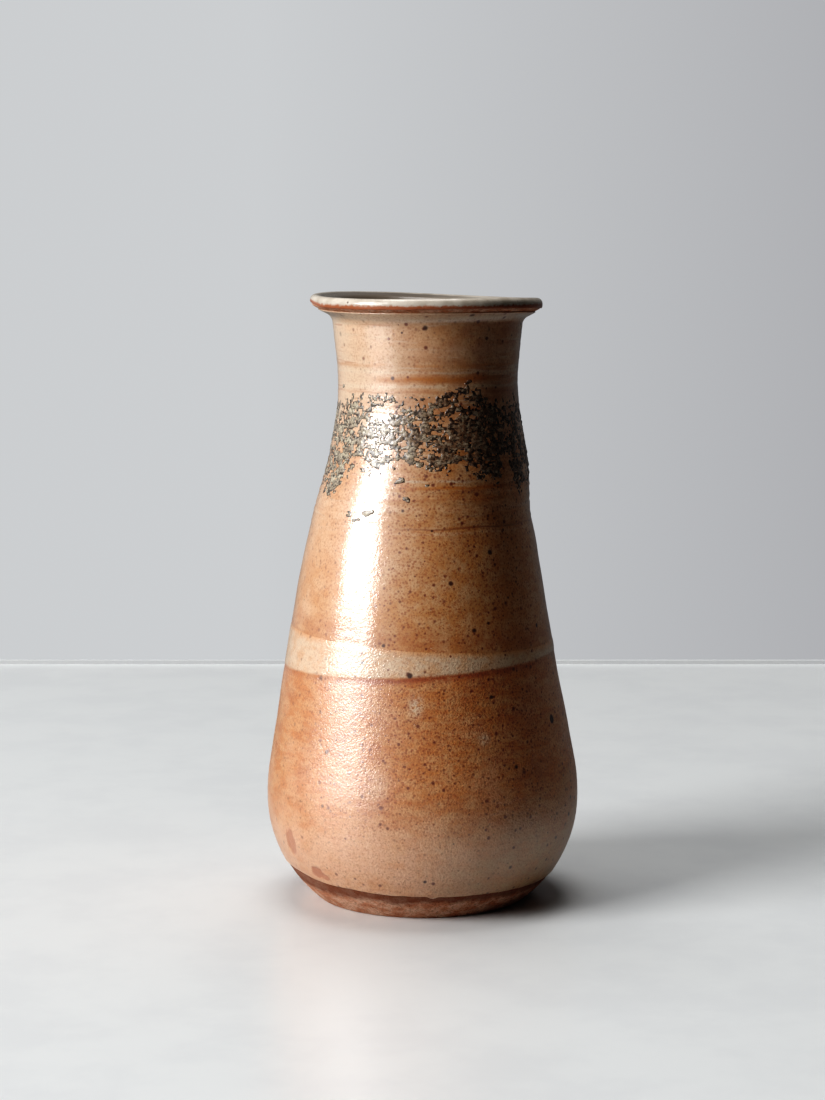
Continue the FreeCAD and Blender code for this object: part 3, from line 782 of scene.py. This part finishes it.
@dataclass(frozen=True)
class LowerFinish:
    """Orange to peach glaze, pale where it laps the other coat; low down it is pink on the left and greyer on the
    right, partly its own colour and partly painted light and shade.
    """

    orange: Colour = fired(208, 136, 76)
    tan: Colour = fired(217, 160, 108)
    pink: Colour = fired(228, 184, 151)
    band: Colour = fired(228, 202, 172)
    sage: Colour = fired(184, 165, 128)
    mark: Colour = fired(186, 116, 78)
    rust: Colour = fired(166, 80, 32)
    freckle: Colour = fired(152, 74, 32)
    iron: Colour = fired(112, 42, 12)
    black: Colour = fired(68, 28, 10)
    # degrees round the pot, height, half its width in degrees, half its height and how strong it is
    blotches: tuple[tuple[float, ...], ...] = (
        (-3.0, 91.0, 4.5, 7.0, 0.95), (24.0, 77.0, 3.8, 4.0, 0.8), (-16.0, 60.0, 6.0, 8.0, 0.3),
    )
    marks: tuple[tuple[float, ...], ...] = (
        (-58.0, 29.5, 4.2, 7.5, 0.8), (-46.0, 18.6, 4.5, 3.4, 1.0), (-42.5, 17.0, 3.0, 2.0, 0.9),
    )
    lap: Lap = Lap()

    def make(self) -> bpy.types.Material:
        """Return the material."""
        b = Bench("lower_glaze")
        uneven = (b.cloud(5.0, 1.0, 3.0, 0.6) - 0.5) * 1.6
        from_low = b.height - self.lap.low_edge(b.across) + uneven * 0.4
        from_high = self.lap.high_edge(b.across, b.facing) - b.height + uneven
        b.colour = b.mix(b.rise(b.cloud(8.0, 2.5, 3.0, 0.6), 0.36, 0.64), self.orange, self.tan)
        b.lay(b.rise(b.cloud(24.0, 1.2, 2.0, 0.5, 3.0), 0.48, 0.74) * 0.35, self.pink)
        # Low down, pink on the left and sage on the right: partly the glaze's own colour, partly painted light on the
        # lit left and painted shade on the shaded right.
        low = 1.0 - b.rise(b.height + (b.cloud(22.0, 1.0, 2.0, 0.5, 6.0) - 0.5) * 34.0, 26.0, 62.0)
        side = b.to_right(-8.0, 40.0, (b.cloud(20.0, 1.0, 2.0, 0.5, 13.0) - 0.5) * 50.0)
        patchy = b.rise(b.cloud(9.0, 1.2, 4.0, 0.65, 27.0), 0.3, 0.62) * 0.55 + 0.45
        b.lay(low * patchy * (1.0 - side) * 0.72, self.pink)
        b.lay(low * patchy * side * 0.66, self.sage)
        drifts = b.rise(b.cloud(12.0, 1.3, 3.0, 0.6, 17.0), 0.5, 0.72)
        b.lay(drifts * (1.0 - low) * 0.35, self.rust)
        stripe = b.hump(from_low, -1.2, 2.4) * (b.hump(b.angle, 4.0, 70.0) * 0.75 + 0.25)
        b.lay(stripe * b.rise(b.cloud(4.0, 2.0, 2.0, 0.5, 21.0), 0.2, 0.5), self.rust)
        for angle, height, wide, tall, strength in self.blotches:
            patch = b.hump(b.angle, angle, wide) * b.hump(b.height, height, tall)
            b.lay(patch * strength * b.rise(b.cloud(2.0, 1.0, 2.0, 0.5, height), 0.2, 0.5), self.band)
        pale = b.rise(from_low, -0.7, 0.8)
        thin = b.rise(from_high, 0.0, 3.4)
        tinted = b.mix(b.rise(b.cloud(6.0, 1.5, 3.0, 0.6, 31.0), 0.4, 0.7) * 0.5 + 0.12, self.band, self.tan)
        tinted = b.mix(1.0 - thin, tinted, self.tan)
        b.lay(pale, tinted)
        speckled(b, self.rust, self.freckle, self.iron, self.black, 1.0 - low * 0.5 - pale * 0.5)
        blot = b.hump(b.angle, 62.0, 2.4) * b.hump(b.height, 80.0, 3.0)
        b.lay(b.rise(blot, 0.2, 0.45), self.black)
        for angle, height, wide, tall, strength in self.marks:
            aside, above = (b.angle - angle) / wide, (b.height - height) / tall
            away = aside * aside + above * above + (b.cloud(2.0, 1.0, 2.0, 0.6, height) - 0.5) * 0.9
            mark = 1.0 - b.rise(away, 0.4, 0.75)
            b.lay(mark * strength, self.mark)
        peel = b.cloud(1.5, 1.0, 2.0) * 1.1 + b.cloud(0.75, 1.0, 1.0) * 0.7 - b.specks(2.2, 0.22, 0.4, 6.0) * 0.7
        roughness = 0.3 - b.rise(b.height, 50.0, 74.0) * 0.08 - pale * 0.08 + b.rise(b.cloud(3.0), 0.3, 0.7) * 0.05
        uniform = {"Coat Roughness": 0.52, "Coat IOR": 2.1, "IOR": 1.8}
        return b.finish(roughness, b.bump(peel, 0.15), uniform, 0.9)


@dataclass(frozen=True)
class CrustFinish:
    """Dark crawled crust: charcoal at its edges, olive grey where it lies thick, with painted shade darkening its right
    side.
    """

    olive: Colour = fired(204, 192, 168)
    grey: Colour = fired(164, 148, 128)
    # painted shade for the crust's right side
    painted_right_shade: Colour = fired(136, 104, 80)
    ink: Colour = fired(48, 35, 30)

    def make(self) -> bpy.types.Material:
        """Return the material."""
        b = Bench("oxide_crust")
        depth = Wire(b, b.node("ShaderNodeAttribute", {"attribute_name": "depth"}, {}).outputs["Fac"])
        # Painted shade: the crust right of the front, away from the window, is darkened.
        right = b.to_right(-30.0, 16.0, (b.cloud(7.0, 1.0, 2.0, 0.5, 5.0) - 0.5) * 40.0)
        b.colour = b.mix(b.rise(b.cloud(3.4, 1.2, 3.0, 0.6), 0.4, 0.62), self.grey, self.olive)
        b.lay(right * (b.rise(b.cloud(2.2, 1.4, 3.0, 0.6, 9.0), 0.36, 0.56) * 0.6 + 0.35), self.painted_right_shade)
        worm = 1.0 - b.rise(abs(b.cloud(1.5, 1.3, 2.0, 0.5, 2.0) - 0.5), 0.015, 0.05)
        b.lay(worm * 0.8, self.ink)
        thin = 1.0 - b.rise(depth + (b.cloud(1.5) - 0.5) * 0.24, 0.04, 0.2)
        b.lay(thin * 0.85, self.ink)
        pits = b.cloud(0.8, 1.0, 3.0, 0.6)
        roughness = b.rise(b.cloud(2.0, 1.0, 2.0, 0.5, 3.0), 0.35, 0.65) * 0.3 + 0.16
        uniform = {"Coat Roughness": 0.45, "Coat IOR": 1.7, "IOR": 1.65}
        return b.finish(roughness, b.bump(pits, 0.09), uniform, 0.6)


# The pieces


@dataclass
class ClayBody:
    """The thrown and fired pot."""

    wheel: Wheel
    depth: float = -0.5  # below the finished surface
    fine: float = 0.6
    plain: float = 3.4
    fine_up_to: float = 36.0
    steps: int = 264

    def build(self) -> bpy.types.Object:
        """Throw the pot and trim its foot.

        Returns:
            The piece.
        """
        line = self.wheel.outline
        foot = float(line.up_to(np.array(self.fine_up_to)))
        marks = (
            (0.0, line.start_of("recess") - 1.0, self.plain),
            (line.start_of("recess") - 1.0, line.start_of("foot"), 0.45),
            (line.start_of("foot"), foot, self.fine),
            (foot, line.start_of("root"), self.plain),
            (line.start_of("root"), line.facing("throat", 140.0), 0.4),
            (line.facing("throat", 140.0), line.length, 5.0),
        )
        runs = np.unique(np.concatenate([stations(*m) for m in marks]).round(4))
        piece = self.wheel.throw("clay_body", [(r, self.depth) for r in runs], self.steps, closed=False)
        angle, run, lift = self.wheel.read(piece)
        tooled = smooth(line.start_of("recess") - run, 2.0, 6.0)
        lift = lift + 0.14 * tooled * np.sin(run * 2.1) * np.clip(run / 3.0, 0.0, 1.0)
        self.wheel.settle(piece, angle, run, lift)
        keep(piece, "stoneware_body", ClayFinish().make())
        return piece


@dataclass
class Liner:
    """The glaze that lines the pot and runs over its lip."""

    wheel: Wheel
    sunk: float = -0.56
    edge_faces: float = -40.0
    fine: float = 0.4
    plain: float = 2.6
    steps: int = 288
    wander: float = 0.22

    def build(self) -> bpy.types.Object:
        """Pour the liner and let it roll over the lip.

        Returns:
            The piece.
        """
        line = self.wheel.outline
        edge, throat = line.facing("lip", self.edge_faces), line.facing("throat", 150.0)
        near = list(stations(edge, throat, self.fine))
        far = list(stations(throat, line.length, self.plain))[1:]
        roll = [(edge, self.sunk), (edge, -0.38), (edge + 0.06, -0.2), (edge + 0.2, -0.07)]
        template = [(r, self.sunk) for r in (near + far)[::-1][:-1]] + roll
        template += [(r, 0.0) for r in near[1:] + far]
        piece = self.wheel.throw("liner_glaze_coat", template, self.steps, closed=False)
        angle, run, lift = self.wheel.read(piece)
        thin_left = 1.2 * ridge(np.degrees(angle), -88.0, 6.0, 26.0)
        run = run + (self.wander * ragged(angle, 9.0, 2.1) + thin_left) * (1.0 - smooth(run - edge, 0.0, 4.0))
        self.wheel.settle(piece, angle, run, lift)
        keep(piece, "liner_glaze", LinerFinish().make())
        return piece


@dataclass
class UpperCoat:
    """The dip from under the lip down to the pale band."""

    wheel: Wheel
    lap: Lap = Lap()
    sunk: float = -0.56
    tuck: float = 2.2  # how far its lower end runs up under the lap
    below_lip: float = 2.1  # how far short of the lip's arc it stops
    fine: float = 1.1
    plain: float = 3.0
    steps: int = 300

    def build(self) -> bpy.types.Object:
        """Dip the upper part of the pot.

        Returns:
            The piece.
        """
        line = self.wheel.outline
        low = float(line.up_to(np.array(self.lap.low)))
        root, lip = line.start_of("root"), line.start_of("lip")
        top = lip - self.below_lip
        outside = list(stations(low, root, self.fine)) + list(stations(root, top, 0.5))[1:]
        inside = list(stations(low, root, self.plain)) + list(stations(root, top, 1.0))[1:]
        template = [(r, 0.0) for r in outside] + [(top + 0.12, -0.12), (top + 0.18, -0.3)]
        template += [(r, self.sunk) for r in inside[::-1]]
        piece = self.wheel.throw("upper_glaze_dip", template, self.steps, closed=True)
        angle, run, lift = self.wheel.read(piece)
        start = line.up_to(self.lap.low_edge(np.sin(angle)) + self.tuck)
        run = run + (start - low) * (1.0 - smooth(run - low, 0.0, 30.0))
        self.wheel.settle(piece, angle, run, lift)
        keep(piece, "upper_glaze_coat", UpperFinish().make())
        return piece


@dataclass(frozen=True)
class BareMark:
    """A place low on the pot that the glaze missed: degrees round it and millimetres."""

    angle: float
    height: float
    half_angle: float
    half_height: float


@dataclass
class LowerCoat:
    """The dip from the glaze line above the foot to the top of the pale band."""

    wheel: Wheel
    lap: Lap = Lap()
    line: GlazeLine = GlazeLine()
    marks: tuple[BareMark, ...] = (
        BareMark(-58.0, 29.5, 2.9, 6.2), BareMark(-46.0, 18.8, 3.0, 2.3), BareMark(-43.5, 17.0, 2.0, 1.2),
    )
    lowest: float = 12.0
    highest: float = 113.0
    sunk: float = -0.56
    swell: float = 0.2
    fine: float = 0.95
    plain: float = 3.0
    steps: int = 330

    def build(self) -> bpy.types.Object:
        """Dip the lower part of the pot.

        Returns:
            The piece.
        """
        outline = self.wheel.outline
        low, high = (float(outline.up_to(np.array(h))) for h in (self.lowest, self.highest))
        roll = [(low, -0.45), (low + 0.03, -0.3), (low + 0.12, -0.14), (low + 0.35, -0.02), (low + 0.7, 0.03)]
        outside = list(stations(low + 1.2, high - 0.6, self.fine)) + [high - 0.3, high]
        inside = list(stations(low, high, self.plain))
        template = roll + [(r, 0.0) for r in outside] + [(r, self.sunk) for r in inside[::-1]]
        piece = self.wheel.throw("lower_glaze_dip", template, self.steps, closed=True)
        angle, run, lift = self.wheel.read(piece)
        inner = lift < self.sunk + 0.02
        across, facing = np.sin(angle), np.cos(angle)
        bottom = outline.up_to(self.line.height(angle))
        top = outline.up_to(self.lap.high_edge(across, facing))
        run = run + (bottom - low) * (1.0 - smooth(run - low, 0.0, 14.0))
        run = run + (top - high) * smooth(run - low, 50.0, high - low)
        over = smooth(run - outline.up_to(self.lap.low_edge(across)), -1.4, 1.0)
        fade = 1.0 - smooth(run - top, -2.2, 0.0)
        outer_lift = lift + self.swell * over * fade - 0.02 * over * (1.0 - fade)
        outer_lift = outer_lift - 0.24 * self.missed(angle, outline.at(run, lift)[1])
        inner_lift = lift + 0.5 * over
        self.wheel.settle(piece, angle, run, np.where(inner, inner_lift, outer_lift))
        keep(piece, "lower_glaze_coat", LowerFinish().make())
        return piece

    def missed(self, angle: np.ndarray, height: np.ndarray) -> np.ndarray:
        """Find the bare marks.

        Args:
            angle: Round the pot, in radians.
            height: Above the table.

        Returns:
            1 inside a mark, falling to 0 at its edge.
        """
        bare = np.zeros(len(angle))
        for mark in self.marks:
            aside = (np.degrees(angle) - mark.angle) / mark.half_angle
            far = np.hypot(aside, (height - mark.height) / mark.half_height)
            bare = np.maximum(bare, 1.0 - smooth(far, 0.75, 1.15))
        return bare


@dataclass
class Crust:
    """The crawled oxide crust round the neck, broken into patches and flecks."""

    wheel: Wheel
    lowest: float = 160.0
    highest: float = 222.0
    cell: float = 0.52
    steps: int = 520
    thickness: float = 0.5
    top: tuple[tuple[float, float], ...] = (
        (-181.0, 213.0), (-120.0, 211.5), (-90.0, 213.0), (-72.0, 212.0), (-52.0, 214.5), (-20.0, 213.5), (0.0, 213.5),
        (10.0, 216.5), (20.0, 219.5), (30.0, 218.0), (40.0, 213.5), (58.0, 212.5), (76.0, 214.5),
        (120.0, 212.5), (181.0, 213.0),
    )
    bottom: tuple[tuple[float, float], ...] = (
        (-181.0, 183.0), (-130.0, 179.0), (-90.0, 176.0), (-76.0, 173.0), (-62.0, 170.0), (-52.0, 179.0),
        (-42.0, 182.5),
        (0.0, 183.5), (22.0, 183.5), (33.0, 179.0), (42.0, 178.0), (50.0, 187.0), (56.0, 178.0), (62.0, 173.0),
        (76.0, 172.5),
        (96.0, 177.0), (140.0, 184.0), (181.0, 183.0),
    )
    flecks: tuple[tuple[float, float, float], ...] = (
        (-42.0, 165.5, 1.6), (-38.0, 163.2, 1.0), (-31.0, 166.4, 1.7), (-28.0, 167.0, 1.1), (-35.0, 163.6, 0.9),
        (-10.5, 173.0, 1.2), (-9.0, 172.0, 0.9), (-15.0, 180.0, 1.5), (-17.0, 179.0, 1.0), (0.0, 178.0, 0.7),
        (-69.0, 217.0, 0.9), (26.0, 220.0, 1.0), (110.0, 172.0, 1.4), (-150.0, 174.0, 1.6), (165.0, 177.0, 1.3),
    )

    def depth_at(self, angle: np.ndarray, height: np.ndarray) -> np.ndarray:
        """Work out where the crust lies.

        Args:
            angle: Round the pot, in radians.
            height: Above the table.

        Returns:
            Above 0 where there is crust, and more where it is thicker.
        """
        degrees = np.degrees(angle)
        radius, _ = self.wheel.outline.at(self.wheel.outline.up_to(height), np.zeros(len(height)))
        spots = np.column_stack([radius * np.sin(angle), -radius * np.cos(angle), height])
        flat = np.array([1.0, 1.0, 1.5])
        small, tiny = lumps(spots * flat / 3.0 + 7.0), lumps(spots * flat / 1.25 + 31.0)
        large = lumps(spots / 8.5 + 3.0)
        edge = np.minimum(height - eased(self.bottom, degrees), eased(self.top, degrees) - height)
        body = np.clip(edge / 5.0, -1.0, 1.0)
        dark = smooth(degrees, -28.0, -8.0) * (1.0 - smooth(degrees, 44.0, 52.0))
        slit = ridge(degrees - (height - 190.0) * 0.08, 51.0, 0.6, 2.6)
        rows = 0.2 * ridge(height, 204.5, 0.8, 2.2) + 0.22 * ridge(height, 191.5, 0.8, 2.4)
        rows = rows * smooth(degrees, -12.0, 0.0) * (1.0 - smooth(degrees, 24.0, 36.0))
        dense = -0.06 - rows + 0.2 * dark * smooth(height, 183.0, 188.0) * (1.0 - smooth(height, 206.0, 212.0))
        dense = dense + 0.14 * ridge(degrees, -62.0, 8.0, 16.0) * (1.0 - smooth(height, 196.0, 206.0))
        dense = dense - 0.5 * slit * (1.0 - smooth(height, 196.0, 204.0))
        field_ = dense + 0.42 * body + 0.72 * small + 0.74 * tiny + 0.4 * large - 0.36
        field_ = np.where(edge < 0.0, field_ + 0.35 * np.clip(edge / 2.0, -2.5, 0.0), field_)
        for at, level, size in self.flecks:
            away = np.hypot(np.radians(degrees - at) * radius / (1.0 * size), (height - level) / (0.62 * size))
            field_ = np.maximum(field_, 0.55 - 0.55 * away + 0.3 * tiny + 0.2 * small)
        return field_

    def build(self) -> bpy.types.Object:
        """Lay the crust, crawl it into patches and give it its thickness.

        Returns:
            The piece.
        """
        line = self.wheel.outline
        low, high = (float(line.up_to(np.array(h))) for h in (self.lowest, self.highest))
        template = [(r, 0.0) for r in stations(low, high, self.cell)]
        piece = self.wheel.throw("oxide_crust_patches", template, self.steps, closed=False)
        angle, run, lift = self.wheel.read(piece)
        height = line.at(run, lift)[1]
        depth = self.depth_at(angle, height)
        mesh = piece.data
        corners = np.empty(len(mesh.polygons) * 4, np.int32)
        mesh.polygons.foreach_get("vertices", corners)
        bare = depth[corners.reshape(-1, 4)].max(axis=1) <= 0.0
        mesh.vertices.foreach_set("select", np.zeros(len(mesh.vertices), bool))
        mesh.edges.foreach_set("select", np.zeros(len(mesh.edges), bool))
        mesh.polygons.foreach_set("select", bare)
        angle, run = self.to_edge(angle, run, height, depth)
        depth = np.maximum(depth, 0.0)
        rough = self.depth_lumps(angle, run)
        lift = 0.02 + 0.13 * smooth(depth, 0.0, 0.35) + 0.1 * smooth(depth, 0.3, 0.9)
        lift = lift + 0.07 * rough * smooth(depth, 0.0, 0.4)
        self.wheel.settle(piece, angle, run, lift)
        layer = mesh.attributes.new("depth", "FLOAT", "POINT")
        layer.data.foreach_set("value", depth.astype(np.float32))
        bpy.ops.object.mode_set(mode="EDIT")
        bpy.ops.mesh.select_mode(type="FACE")
        bpy.ops.mesh.delete(type="FACE")
        bpy.ops.object.mode_set(mode="OBJECT")
        shell = piece.modifiers.new("thickness", "SOLIDIFY")
        shell.thickness = self.thickness * MM
        shell.offset = -1.0
        bpy.ops.object.modifier_apply(modifier=shell.name)
        keep(piece, "oxide_crust_band", CrustFinish().make())
        return piece

    def to_edge(
        self, angle: np.ndarray, run: np.ndarray, height: np.ndarray, depth: np.ndarray
    ) -> tuple[np.ndarray, np.ndarray]:
        """Draw the vertices just outside a patch in to its edge.

        Args:
            angle: Round the pot, in radians.
            run: Along the outline.
            height: Above the table.
            depth: The crust's depth at each vertex.

        Returns:
            The new angles and runs.
        """
        reach = 0.05
        near = np.flatnonzero((depth <= 0.0) & (depth > -0.9))
        radius = self.wheel.outline.at(run[near], np.zeros(len(near)))[0]
        wide = (self.depth_at(angle[near] + reach / radius, height[near]) - depth[near]) / reach
        tall = (self.depth_at(angle[near], height[near] + reach) - depth[near]) / reach
        steep = np.maximum(wide * wide + tall * tall, 1e-4)
        step = np.clip(-depth[near] / steep, 0.0, None)
        limit = 0.62 * self.cell
        over = np.maximum(np.hypot(step * wide, step * tall) / limit, 1.0)
        angle, run = angle.copy(), run.copy()
        angle[near] += step * wide / over / radius
        run[near] += step * tall / over
        return angle, run

    def depth_lumps(self, angle: np.ndarray, run: np.ndarray) -> np.ndarray:
        """Return the lumps of the crust's surface, from -1 to 1."""
        spots = np.column_stack([np.sin(angle) * 40.0, np.cos(angle) * 40.0, run]) / 1.1
        return lumps(spots)


# The stage, the light and the camera


@dataclass
class Stage:
    """A pale, slightly glossy table top."""

    back: float = 0.565
    reach: float = 4.0
    thickness: float = 0.03
    rounding: float = 0.002
    pale: Colour = fired(233, 235, 235)
    mottle: Colour = fired(226, 228, 229)
    bounce: Colour = fired(186, 186, 186)
    dim: Colour = fired(84, 84, 84)
    strip: float = 0.0022
    edge: Colour = fired(232, 234, 235)

    def build(self) -> bpy.types.Object:
        """Lay the table top.

        Returns:
            The table top.
        """
        bpy.ops.object.select_all(action="DESELECT")
        bpy.ops.mesh.primitive_cube_add(size=1.0, location=(0.0, self.back - self.reach / 2, -self.thickness / 2))
        table = bpy.context.object
        table.name = "table_top"
        table.scale = (2 * self.reach, self.reach, self.thickness)
        bpy.ops.object.transform_apply(location=True, rotation=True, scale=True)
        edge = table.modifiers.new("rounding", "BEVEL")
        edge.width = self.rounding
        edge.segments = 3
        bpy.ops.object.modifier_apply(modifier=edge.name)
        b = Bench("table_paint")
        top = b.mix(b.rise(b.cloud(60.0, 1.0, 4.0, 0.65), 0.4, 0.65) * 0.6, self.pale, self.mottle)
        seen = Wire(b, b.node("ShaderNodeLightPath", {}, {}).outputs["Is Camera Ray"])
        far = b.mix(b.rise(b.radius, 70.0, 420.0), self.bounce, self.dim)
        b.colour = b.mix(seen, far, top)
        waves = b.cloud(9.0, 1.0, 3.0, 0.6)
        table.data.materials.append(b.finish(0.3, b.bump(waves, 0.05), {"IOR": 1.45}))
        bpy.ops.object.select_all(action="DESELECT")
        bpy.ops.mesh.primitive_cube_add(size=1.0, location=(0.0, self.back - self.strip, self.strip / 2))
        strip = bpy.context.object
        strip.name = "table_edge"
        strip.scale = (2 * self.reach, 2 * self.strip, self.strip)
        bpy.ops.object.transform_apply(location=True, rotation=True, scale=True)
        b = Bench("table_edge_paint")
        b.colour = b.mix(b.rise(b.cloud(40.0), 0.4, 0.6), self.edge, self.pale)
        strip.data.materials.append(b.finish(0.4, b.bump(b.cloud(20.0), 0.02), {"IOR": 1.45}))
        return table


class Lamp(Enum):
    """The two soft lights."""

    WINDOW = "window"
    OVERHEAD = "overhead"


@dataclass
class Studio:
    """A tall window to the left, a soft light overhead and a pale room."""

    middle: float = 0.12
    window_far: float = 3.0
    window_angle: float = -62.0
    window_wide: float = 1.75
    window_low: float = 0.42
    window_high: float = 3.0
    window_power: float = 174.0
    overhead_high: float = 2.6
    overhead_wide: float = 1.5
    overhead_power: float = 36.0
    room: Colour = fired(209, 211, 213)
    room_right: Colour = fired(184, 185, 188)
    ambient: float = 0.025
    behind: float = 0.2
    behind_left: float = 0.75
    toe: float = 0.11

    def lamp(self, which: Lamp, place: Vector, wide: float, tall: float, power: float) -> bpy.types.Object:
        """Hang a lamp that faces the middle of the vase.

        Args:
            which: Which of the lamps it is.
            place: Where it hangs.
            wide: Its width.
            tall: Its height.
            power: Its power in watts.

        Returns:
            The lamp.
        """
        data = bpy.data.lights.new(which.value, "AREA")
        data.shape = "RECTANGLE"
        data.size, data.size_y = wide, tall
        data.energy = power
        lamp = bpy.data.objects.new(which.value, data)
        lamp.location = place
        aim = Vector((0.0, 0.0, place.z if which is Lamp.WINDOW else self.middle)) - place
        lamp.rotation_euler = aim.to_track_quat("-Z", "Y").to_euler()
        lamp.visible_camera = False
        bpy.context.scene.collection.objects.link(lamp)
        return lamp

    def build(self) -> None:
        """Hang the lamps and paint the room."""
        turn = math.radians(self.window_angle)
        tall = self.window_high - self.window_low
        far = self.window_far
        place = Vector((math.sin(turn) * far, -math.cos(turn) * far, self.window_low + tall / 2))
        self.lamp(Lamp.WINDOW, place, self.window_wide, tall, self.window_power)
        above = Vector((-0.1, 0.5, self.overhead_high))
        self.lamp(Lamp.OVERHEAD, above, self.overhead_wide, self.overhead_wide, self.overhead_power)
        bpy.context.scene.world = self.walls()
        view = bpy.context.scene.view_settings
        view.view_transform = "Standard"
        view.use_curve_mapping = True
        curve = view.curve_mapping.curves[3]
        for light in (0.03, 0.07, 0.12, 0.2, 0.35, 0.6, 0.8):
            curve.points.new(light, light * light * (1.0 + self.toe) / (light + self.toe))
        view.curve_mapping.update()

    def walls(self) -> bpy.types.World:
        """Paint the room, which is dimmer in the light it throws than it looks.

        Returns:
            The world.
        """
        world = bpy.data.worlds.new("room")
        world.use_nodes = True
        n = Nodes(world.node_tree)
        way = Wire(n, n.node("ShaderNodeTexCoord", {}, {}).outputs["Generated"])
        parts = n.node("ShaderNodeSeparateXYZ", {}, {0: way}).outputs
        x, y = Wire(n, parts["X"]), Wire(n, parts["Y"])
        paint = n.mix(n.spread(x, -0.06, 0.16, 0.0, 1.0), self.room, self.room_right)
        side = n.spread(x, -0.8, 0.1, self.behind_left, self.behind)
        strength = n.spread(y, 0.0, 0.8, self.ambient, side)
        seen = n.node("ShaderNodeBackground", {}, {"Color": paint})
        dim = n.node("ShaderNodeBackground", {}, {"Color": self.room, "Strength": strength})
        rays = Wire(n, n.node("ShaderNodeLightPath", {}, {}).outputs["Is Camera Ray"])
        blend = n.node("ShaderNodeMixShader", {}, {0: rays, 1: Wire(n, dim.outputs[0]), 2: Wire(n, seen.outputs[0])})
        n.node("ShaderNodeOutputWorld", {}, {"Surface": Wire(n, blend.outputs[0])})
        return world


@dataclass
class Viewpoint:
    """The camera: a little above the lip, looking slightly down."""

    across: float = -0.00426
    away: float = 1.060
    height: float = 0.2831
    down: float = 7.34
    lens: float = 83.23

    def build(self) -> bpy.types.Object:
        """Set the camera up.

        Returns:
            The camera.
        """
        data = bpy.data.cameras.new("camera")
        data.lens = self.lens
        data.sensor_width = 36.0
        camera = bpy.data.objects.new("camera", data)
        camera.location = (self.across, -self.away, self.height)
        camera.rotation_euler = (math.radians(90.0 - self.down), 0.0, 0.0)
        bpy.context.scene.collection.objects.link(camera)
        bpy.context.scene.camera = camera
        return camera


def main() -> None:
    """Build the vase, then its stage, light and camera, and report each."""
    logging.basicConfig(level=logging.INFO, format="%(message)s")
    wheel = Wheel(Outline(), Hand())
    for part in (ClayBody(wheel), Liner(wheel), UpperCoat(wheel), LowerCoat(wheel), Crust(wheel)):
        piece = part.build()
        piece.data.calc_loop_triangles()
        log.info("%s: %d triangles", piece.name, len(piece.data.loop_triangles))
    log.info("stage: %s", Stage().build().name)
    Studio().build()
    log.info("camera: %s", Viewpoint().build().name)


if __name__ == "__main__":
    main()
